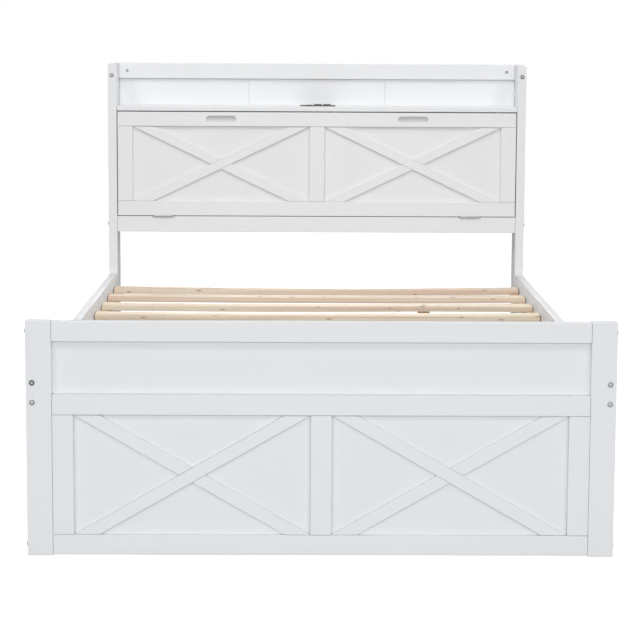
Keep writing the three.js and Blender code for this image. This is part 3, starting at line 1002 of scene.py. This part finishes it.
def legScrewRows():
    rows = []
    for name in slatNames:
        leg = legUnder(name)
        if leg:
            rows.append((Vector((leg.x, leg.y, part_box(name)[1].z)), up))
    return rows


def cleatScrewRows():
    rows = []
    for side, sign in sides.items():
        low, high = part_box("slat_cleat_" + side)
        innerX = low.x if sign > 0 else high.x
        for y in spaced(low.y, high.y, screwPlaces["cleatInset"], screwPlaces["cleatCount"]):
            rows.append((Vector((innerX, y, (low.z + high.z) / 2)), Vector((-sign, 0, 0))))
    return rows


def boardScrewRows():
    rows = []
    for board in ("back_board_left", "back_board_centre", "back_board_right"):
        low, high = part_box(board)
        y = high.y - screwPlaces["boardSink"]
        for z in (middle("compartment_floor").z, middle("shelf_board").z):
            for x in spaced(low.x, high.x, screwPlaces["boardInset"], screwPlaces["boardCount"]):
                rows.append((Vector((x, y, z)), toBack))
    return rows


boltHead = socketHead("bolt_head", boltLook)
sunkHead = socketHead("sunk_bolt_head", sunkBoltLook)
nutFace = nutHead("nut_face", nutLook)
screwHead = crossHead("screw_head", screwLook)
legScrewHead = crossHead("leg_screw_head", legScrewLook)
hingeScrewHead = crossHead("hinge_screw_head", hingeScrewLook)
setFasteners("frame_bolts", boltHead, frameBoltRows(), boltSteel, "bed_frame")
setFasteners("rail_bolts_back", sunkHead, backBoltRows(), boltSteel, "bed_frame")
setFasteners("barrel_nuts", nutFace, nutRows(), boltSteel, "bed_frame")
setFasteners("leg_screws", legScrewHead, legScrewRows(), boltSteel, "bed_frame")
setFasteners("cleat_screws", screwHead, cleatScrewRows(), screwSteel, "bed_frame")
setFasteners("back_board_screws", screwHead, boardScrewRows(), screwSteel, "bed_frame")
print("bolts, nuts and screws of the frame set")


# Hinges, with finer round parts than the solids have

hingeLook = {
    "leafThickness": 0.0015,
    "leafProud": 0.0006,  # how far each leaf stands out of its recess
    "leafGap": 0.0004,  # between the knuckles and the flat of the leaf
    "cornerRound": 0.0018,
    "knuckleSides": 40,
    "knuckleCount": 5,
    "knuckleGap": 0.0003,
    "pinRadius": 0.0015,
    "pinSides": 24,
    "ease": 0.0002,  # bevel at the ends of knuckles and pins
    "screwStep": 0.024,
    "screwRadius": 0.0026,
    "screwSink": 0.0006,
}
cornerSteps = 4


def addRodAlongX(bm, radius, start, end, centre, steps):
    ease = hingeLook["ease"]
    narrow = radius - ease
    stations = [(start, narrow), (start + ease, radius), (end - ease, radius), (end, narrow)]
    addLoft(bm, [[
        (x, centre.y + ringY, centre.z + ringZ) for ringY, ringZ in roundRing(reach, steps)
    ] for x, reach in stations])


# A flat plate in the X-Y plane with rounded corners and round holes
def addPlate(bm, low, high, corner, holes, holeRadius):
    outline = []
    for quarter, (right, back) in enumerate(((1, 1), (0, 1), (0, 0), (1, 0))):
        cornerX = high[0] - corner if right else low[0] + corner
        cornerY = high[1] - corner if back else low[1] + corner
        for step in range(cornerSteps + 1):
            angle = (quarter + step / cornerSteps) * math.pi / 2
            outline.append((cornerX + corner * math.cos(angle), cornerY + corner * math.sin(angle)))
    loops = [outline]
    for x, y in holes:
        loops.append([(x + ringX, y + ringY) for ringX, ringY in roundRing(holeRadius)])
    plate = bmesh.new()
    edges = []
    for loop in loops:
        verts = [plate.verts.new((x, y, low[2])) for x, y in loop]
        edges += [plate.edges.new(pair) for pair in zip(verts, verts[1:] + verts[:1])]
    filled = bmesh.ops.triangle_fill(plate, edges=edges, use_beauty=True)
    faces = [item for item in filled["geom"] if isinstance(item, bmesh.types.BMFace)]
    raised = bmesh.ops.extrude_face_region(plate, geom=faces)
    verts = [item for item in raised["geom"] if isinstance(item, bmesh.types.BMVert)]
    bmesh.ops.translate(plate, verts=verts, vec=(0, 0, high[2] - low[2]))
    bmesh.ops.recalc_face_normals(plate, faces=plate.faces)
    copy = bpy.data.meshes.new("plate")
    plate.to_mesh(copy)
    plate.free()
    bm.from_mesh(copy)
    bpy.data.meshes.remove(copy)


# One leaf with its knuckles; gives back the places of its screws
def makeHingeHalf(name, side, isDoor):
    look = hingeLook
    nodeName = name + "_" + side
    low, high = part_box(nodeName)
    axis = middle("hinge_pin_" + side)
    radius = axis.y - low.y
    if isDoor:
        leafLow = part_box("door_bottom_rail")[0].z - look["leafProud"]
    else:
        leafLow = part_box("headboard_bottom_rail")[1].z + look["leafProud"] - look["leafThickness"]
    leafHigh = leafLow + look["leafThickness"]
    leafFront = axis.y + radius + look["leafGap"]
    holes = [(axis.x + step * look["screwStep"], (leafFront + high.y) / 2) for step in (-1, 0, 1)]
    bm = bmesh.new()
    addPlate(bm, (low.x, leafFront, leafLow), (high.x, high.y, leafHigh),
             look["cornerRound"], holes, look["screwRadius"])
    length = (high.x - low.x) / look["knuckleCount"]
    for index in range(1 if isDoor else 0, look["knuckleCount"], 2):
        start = low.x + index * length + look["knuckleGap"] / 2
        end = start + length - look["knuckleGap"]
        addRodAlongX(bm, radius, start, end, axis, look["knuckleSides"])
        addBlock(bm, (start, axis.y, leafLow), (end, leafFront + look["leafThickness"], leafHigh))
    piece = linkSteel(nodeName + "_fine", bm)
    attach(piece, "flap_door" if isDoor else "bed_frame")
    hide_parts(nodeName)
    facing, face = (down, leafLow) if isDoor else (up, leafHigh)
    return [(Vector((x, y, face)) - facing * look["screwSink"], facing) for x, y in holes]


def makePin(side):
    low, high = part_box("hinge_pin_" + side)
    bm = bmesh.new()
    addRodAlongX(bm, hingeLook["pinRadius"], low.x, high.x, (low + high) / 2, hingeLook["pinSides"])
    piece = linkSteel("hinge_pin_" + side + "_fine", bm)
    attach(piece, "bed_frame")
    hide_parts("hinge_pin_" + side)


fixedScrews, doorScrews = [], []
for side in sides:
    fixedScrews += makeHingeHalf("hinge_fixed_leaf", side, False)
    doorScrews += makeHingeHalf("hinge_door_leaf", side, True)
    makePin(side)
setFasteners("hinge_screws_fixed", hingeScrewHead, fixedScrews, screwSteel, "bed_frame")
setFasteners("hinge_screws_door", hingeScrewHead, doorScrews, screwSteel, "flap_door")
print("hinges made")


# Strike plates of the magnetic catches, on the back of the door

strikeLook = {
    "width": 0.034,
    "height": 0.011,
    "thickness": 0.0012,
    "corner": 0.003,
    "hole": 0.0022,
    "topInset": 0.0015,  # below the door's top edge, so that it doesn't show in the gap
    "screwSink": 0.0004,
}


# One strike plate; gives back the place of its screw
def makeStrike(side):
    look = strikeLook
    halfWidth, halfHeight, thickness = look["width"] / 2, look["height"] / 2, look["thickness"]
    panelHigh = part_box("door_panel")[1]
    x = middle("door_catch_" + side).x
    z = panelHigh.z - look["topInset"] - halfHeight
    bm = bmesh.new()
    addPlate(bm, (-halfWidth, -halfHeight, 0), (halfWidth, halfHeight, thickness),
             look["corner"], [(0, 0)], look["hole"])
    bmesh.ops.rotate(bm, verts=bm.verts, matrix=Matrix.Rotation(-math.pi / 2, 3, "X"))
    bmesh.ops.translate(bm, verts=bm.verts, vec=(x, panelHigh.y, z))
    piece = linkSteel("strike_plate_" + side, bm)
    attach(piece, "flap_door")
    return Vector((x, panelHigh.y + thickness - look["screwSink"], z)), toBack


strikeScrews = [makeStrike(side) for side in sides]
setFasteners("strike_screws", hingeScrewHead, strikeScrews, screwSteel, "flap_door")
for head in (boltHead, sunkHead, nutFace, screwHead, legScrewHead, hingeScrewHead):
    bpy.data.objects.remove(head)
print("strike plates made")


# Power socket: sprung contacts in the outlets, tongues with contact strips in the USB ports

socketLook = {
    "moduleSpacing": 0.0315,
    "slotSpacing": 0.0127,
    "slotLength": 0.0075,
    "slotHalfWidth": 0.0010,
    "leafThickness": 0.0005,
    "leafGap": 0.0002,  # between the leaf and the slot's wall
    "leafDrop": 0.0020,
    "leafDepth": 0.0050,
    "portSpacing": 0.0130,
    "portDepth": 0.0090,
    "portDrop": 0.0025,  # from the outlets' faces down to the USB face
    "tongueHalfWidth": 0.0052,
    "tongueThickness": 0.0015,
    "tongueDrop": 0.0012,
    "stripSpacing": 0.0025,
    "stripHalfWidth": 0.0005,
    "stripThickness": 0.00015,
    "stripDrop": 0.0012,
    "stripCount": 4,
}


# A pair of sprung leaves in the slots of one outlet
def addLeaves(bm, centreX, frontY, faceZ):
    look = socketLook
    top = faceZ - look["leafDrop"]
    for sign in sides.values():
        wall = centreX + sign * (look["slotSpacing"] / 2 + look["slotHalfWidth"] - look["leafGap"])
        inner = wall - sign * look["leafThickness"]
        addBlock(bm, (min(wall, inner), frontY + look["leafGap"], top - look["leafDepth"]),
                 (max(wall, inner), frontY + look["slotLength"] - look["leafGap"], top))


# The tongue of one USB port, with its row of strips
def addTongue(tongues, brass, centreX, frontY, faceZ):
    look = socketLook
    bottom, top = faceZ - look["portDepth"], faceZ - look["tongueDrop"]
    addBlock(tongues, (centreX - look["tongueHalfWidth"], frontY, bottom),
             (centreX + look["tongueHalfWidth"], frontY + look["tongueThickness"], top))
    for strip in range(look["stripCount"]):
        x = centreX + (strip - (look["stripCount"] - 1) / 2) * look["stripSpacing"]
        addBlock(brass, (x - look["stripHalfWidth"], frontY - look["stripThickness"], bottom),
                 (x + look["stripHalfWidth"], frontY, top - look["stripDrop"]))


def makeSocketInside():
    look = socketLook
    centre = middle("power_socket")
    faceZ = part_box("power_socket")[1].z
    brass, tongues = bmesh.new(), bmesh.new()
    for step in (0, 1):
        addLeaves(brass, centre.x + step * look["moduleSpacing"], centre.y, faceZ)
    for row in (-1, 1):
        portY = centre.y + row * look["portSpacing"] / 2
        addTongue(tongues, brass, centre.x - look["moduleSpacing"], portY, faceZ - look["portDrop"])
    contacts = linkMesh("socket_contacts", brass)
    dress(contacts, contactBrass)
    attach(contacts, "bed_frame")
    ports = linkMesh("usb_tongues", tongues)
    dress(ports, tonguePlastic)
    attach(ports, "bed_frame")


makeSocketInside()
print("socket contacts and tongues made")


# Camera, lights, world and floor

cameraLook = {
    "lens": 104.85,
    "shift": -0.11,
    "place": (-0.0464, -5.544, 1.288),
    "tilt": 6.63,  # degrees, as the two below
    "turn": 0.52,
    "roll": 0.29,
}


def makeCamera():
    look = cameraLook
    data = bpy.data.cameras.new("camera")
    data.lens = look["lens"]
    data.shift_y = look["shift"]
    camera = addObject("camera", data)
    turn = Matrix.Rotation(math.radians(-look["turn"]), 4, "Z")
    tilt = Matrix.Rotation(math.radians(90 - look["tilt"]), 4, "X")
    roll = Matrix.Rotation(math.radians(look["roll"]), 4, "Z")
    camera.matrix_world = Matrix.Translation(look["place"]) @ turn @ tilt @ roll
    bpy.context.scene.camera = camera


# Suns light the near and the far end alike; azimuth 0 is in front of the footboard
sunLook = {
    "keyLeft": {"azimuth": -42, "elevation": 42, "spread": 20, "strength": 0.51},
    "keyRight": {"azimuth": 42, "elevation": 42, "spread": 20, "strength": 0.51},
    "front": {"azimuth": 0, "elevation": 10, "spread": 20, "strength": 0.60},
    "fillLeft": {"azimuth": -33, "elevation": 10, "spread": 12, "strength": 0.28},
    "fillRight": {"azimuth": 33, "elevation": 10, "spread": 12, "strength": 0.28},
    "sideLeft": {"azimuth": -90, "elevation": 4, "spread": 8, "strength": 0.65},
    "sideRight": {"azimuth": 90, "elevation": 4, "spread": 8, "strength": 0.68},
    "back": {"azimuth": 180, "elevation": 3, "spread": 8, "strength": 1.3},
    "sky": {"azimuth": 180, "elevation": 72, "spread": 50, "strength": 0.97},
}
sunDistance = 8.0

# Soft panels: one by the camera and one high over the bed
panelLook = {
    "near": {"place": (0.0, -5.2, 1.35), "size": (3.0, 1.4), "power": 54},
    "top": {"place": (0.0, -0.4, 3.2), "size": (1.6, 1.6), "power": 22},
}
panelAim = Vector((0, 0.6, 0.5))


def placeLamp(data, place, direction):
    turn = direction.to_track_quat("-Z", "Y").to_matrix().to_4x4()
    addObject(data.name, data).matrix_world = Matrix.Translation(place) @ turn


def makeSun(name, look):
    data = bpy.data.lights.new(name, "SUN")
    data.energy = look["strength"]
    data.angle = math.radians(look["spread"])
    azimuth, elevation = math.radians(look["azimuth"]), math.radians(look["elevation"])
    level = math.cos(elevation)
    towards = Vector((math.sin(azimuth) * level, -math.cos(azimuth) * level, math.sin(elevation)))
    placeLamp(data, towards * sunDistance, -towards)


def makePanel(name, look):
    data = bpy.data.lights.new(name, "AREA")
    data.shape = "RECTANGLE"
    data.size, data.size_y = look["size"]
    data.energy = look["power"]
    place = Vector(look["place"])
    placeLamp(data, place, panelAim - place)


# What the camera sees by itself or in a reflection
def seenRay(graph):
    path = graph.node("ShaderNodeLightPath", out="Is Camera Ray")
    mirrored = graph.math("MAXIMUM", path.other("Is Glossy Ray"), path.other("Is Transmission Ray"))
    return graph.math("MAXIMUM", path, mirrored)


worldLook = {"ambient": (0.03, 0.03, 0.03, 1), "white": (1, 1, 1, 1)}


# White to the camera and in reflections, softer as a light
def makeWorld():
    world = bpy.data.worlds.new("studio")
    world.use_nodes = True
    graph = Graph(world.node_tree)
    soft = graph.node("ShaderNodeBackground", None, {"Color": worldLook["ambient"]})
    white = graph.node("ShaderNodeBackground", None, {"Color": worldLook["white"]})
    both = graph.node("ShaderNodeMixShader", None, {0: seenRay(graph), 1: soft, 2: white})
    graph.node("ShaderNodeOutputWorld", None, {"Surface": both})
    bpy.context.scene.world = world


floorLook = {"size": 14.0, "drop": 0.0002, "colour": (0.35, 0.35, 0.35, 1), "glow": 0.93}


# Pale grey as it lights the bed, white as the camera sees it
def makeFloor():
    look = floorLook
    material = bpy.data.materials.new("floor")
    material.use_nodes = True
    graph = Graph(material.node_tree)
    diffuse = graph.node("ShaderNodeBsdfDiffuse", None, {"Color": look["colour"]})
    glow = graph.node("ShaderNodeEmission", None, {"Strength": look["glow"]})
    lit = graph.node("ShaderNodeAddShader", None, {0: diffuse, 1: glow})
    both = graph.node("ShaderNodeMixShader", None, {0: seenRay(graph), 1: diffuse, 2: lit})
    graph.node("ShaderNodeOutputMaterial", None, {"Surface": both})
    half = look["size"] / 2
    corners = [(-half, -half), (half, -half), (half, half), (-half, half)]
    mesh = bpy.data.meshes.new("floor")
    mesh.from_pydata([(x, y, cadLow.z - look["drop"]) for x, y in corners], [], [(0, 1, 2, 3)])
    floor = addObject("floor", mesh)
    dress(floor, material)


makeCamera()
for name, look in sunLook.items():
    makeSun(name, look)
for name, look in panelLook.items():
    makePanel(name, look)
makeWorld()
makeFloor()
bpy.context.scene.view_settings.view_transform = "Standard"
print("camera, lamps, world and floor made")
